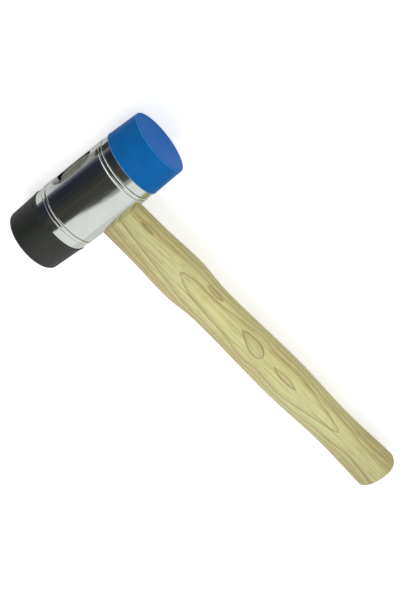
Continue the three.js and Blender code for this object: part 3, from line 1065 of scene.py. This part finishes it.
# Bright screen past the blue end, which shows in the small edges of the rings
SCREEN_X = (-0.9, 0.25)
SCREEN_Y = 0.55
SCREEN_Z = (0.0, 0.5)
SCREEN_TONES = [(0.0, 1.0), (1.0, 0.9)]
SCREEN_STRENGTH = 1.6

# Camera, with its sensor and lens in millimetres and its turns in degrees
SENSOR_HEIGHT = 24.0
LENS = 39.0769
CAMERA_PLACE = (-0.2849, 0.1922, 0.50357)
CAMERA_TURNS = (-32.9408, -0.9841, 50.6007)


def background_rays(tree):
    """Rays of the camera, and the mirror and see-through rays that show the background too."""
    path = add(tree, "ShaderNodeLightPath", {}).outputs
    mirror = maths(tree, "MAXIMUM", path["Is Glossy Ray"], path["Is Transmission Ray"])
    return path["Is Camera Ray"], mirror


def add_floor():
    mesh = bpy.data.meshes.new("floor")
    corners = [(x * FLOOR_SIZE, y * FLOOR_SIZE, 0) for x, y in ((-1, -1), (1, -1), (1, 1), (-1, 1))]
    mesh.from_pydata(corners, [], [(0, 1, 2, 3)])
    floor = bpy.data.objects.new("floor", mesh)
    bpy.context.scene.collection.objects.link(floor)
    plain = {"Roughness": 0.9, "Specular IOR Level": 0.0, "Emission Color": (1, 1, 1, 1)}
    material, tree, shader = new_material("floor", plain)
    camera, mirror = background_rays(tree)
    glow = maths(tree, "MULTIPLY", camera, FLOOR_GLOW)
    link_inputs(tree, shader, {
        "Base Color": ramp(tree, noise(tree, EVEN, 0.02, 3.0), [(0.3, 0.84), (0.7, 0.86)]),
        "Emission Strength": maths(tree, "ADD", glow, maths(tree, "MULTIPLY", mirror, MIRROR_GLOW)),
    })
    mesh.materials.append(material)


def add_world():
    world = bpy.data.worlds.new("studio")
    world.use_nodes = True
    tree = world.node_tree
    camera, mirror = background_rays(tree)
    background = tree.nodes["Background"]
    background.inputs["Color"].default_value = (1, 1, 1, 1)
    strength = spread(tree, maths(tree, "MAXIMUM", camera, mirror), 0, 1, FILL, 1.0)
    tree.links.new(strength, background.inputs["Strength"])
    bpy.context.scene.world = world


def add_lamp(name, location, size, power):
    light = bpy.data.lights.new(name, "AREA")
    light.shape = "DISK"
    light.size = size
    light.energy = power
    lamp = bpy.data.objects.new(name, light)
    lamp.location = location
    lamp.rotation_euler = (-Vector(location)).to_track_quat("-Z", "Y").to_euler()
    lamp.visible_glossy = False
    bpy.context.scene.collection.objects.link(lamp)


def reflection_material(name, tones, mottle, strength):
    """A glow toned along the mesh's share from 0 to 1, fading to white along its fade."""
    material = bpy.data.materials.new(name)
    material.use_nodes = True
    tree = material.node_tree
    tree.nodes.clear()
    share = add(tree, "ShaderNodeAttribute", {}, attribute_name="share").outputs["Fac"]
    fade = add(tree, "ShaderNodeAttribute", {}, attribute_name="fade").outputs["Fac"]
    cloth = ramp(tree, noise(tree, (1, 0.25, 1), 0.02, 4.0, 0.6), [(0.3, 0.65), (0.7, 1.4)])
    tone = blend(tree, fade, tint(tree, ramp(tree, share, tones), cloth, mottle), (1, 1, 1))
    emission = add(tree, "ShaderNodeEmission", {"Color": tone, "Strength": strength})
    output = add(tree, "ShaderNodeOutputMaterial", {})
    tree.links.new(emission.outputs[0], output.inputs["Surface"])
    return material


def add_reflection(name, points, faces, shares, fades, material):
    """A sheet that only shows in gloss."""
    mesh = bpy.data.meshes.new(name)
    mesh.from_pydata(points, [], faces)
    for key, values in (("share", shares), ("fade", fades)):
        mesh.attributes.new(key, "FLOAT", "POINT").data.foreach_set("value", values)
    mesh.materials.append(material)
    sheet = bpy.data.objects.new(name, mesh)
    bpy.context.scene.collection.objects.link(sheet)
    sheet.visible_camera = False
    sheet.visible_diffuse = False
    sheet.visible_transmission = False
    sheet.visible_shadow = False


def add_wall():
    points, faces, shares, fades = [], [], [], []
    for i, (x, z, low, high) in enumerate(spline_points(WALL, WALL_SECTIONS)):
        points += [(HEAD_CENTRE.x + x, y, HEAD_CENTRE.z + z) for y in (low, low + WALL_FADE, high)]
        shares += [i / WALL_SECTIONS] * 3
        fades += [1, 0, 0]
        if i:
            a = 3 * i
            faces += [(a - 3, a - 2, a + 1, a), (a - 2, a - 1, a + 2, a + 1)]
    material = reflection_material("studio_wall", WALL_TONES, WALL_MOTTLE, 1.0)
    add_reflection("studio_wall", points, faces, shares, fades, material)


def add_flat_reflection(name, corners, material):
    """A four-cornered sheet, toned from its first side to the one across from it."""
    add_reflection(name, corners, [(0, 1, 2, 3)], [0, 0, 1, 1], [0, 0, 0, 0], material)


def add_card():
    (back, back_low, back_high), (front, front_low, front_high) = CARD_BACK, CARD_FRONT
    edges = [(back, back_low), (front, front_low), (front, front_high), (back, back_high)]
    corners = [(HEAD_CENTRE.x + x, y, CARD_LIFT) for x, y in edges]
    material = reflection_material("studio_card", CARD_TONES, CARD_MOTTLE, 1.0)
    add_flat_reflection("studio_card", corners, material)


def add_screen():
    (x0, x1), (z0, z1) = SCREEN_X, SCREEN_Z
    corners = [(x, SCREEN_Y, z) for x, z in ((x0, z0), (x1, z0), (x1, z1), (x0, z1))]
    material = reflection_material("studio_glow", SCREEN_TONES, 0.0, SCREEN_STRENGTH)
    add_flat_reflection("studio_glow", corners, material)


def add_camera():
    data = bpy.data.cameras.new("camera")
    data.sensor_fit = "VERTICAL"
    data.sensor_height = SENSOR_HEIGHT
    data.lens = LENS
    camera = bpy.data.objects.new("camera", data)
    camera.location = CAMERA_PLACE
    camera.rotation_euler = [math.radians(turn) for turn in CAMERA_TURNS]
    bpy.context.scene.collection.objects.link(camera)
    bpy.context.scene.camera = camera


add_floor()
add_world()
add_wall()
add_card()
add_screen()
for lamp in LAMPS:
    add_lamp(*lamp)
add_camera()
bpy.context.scene.view_settings.view_transform = "Standard"
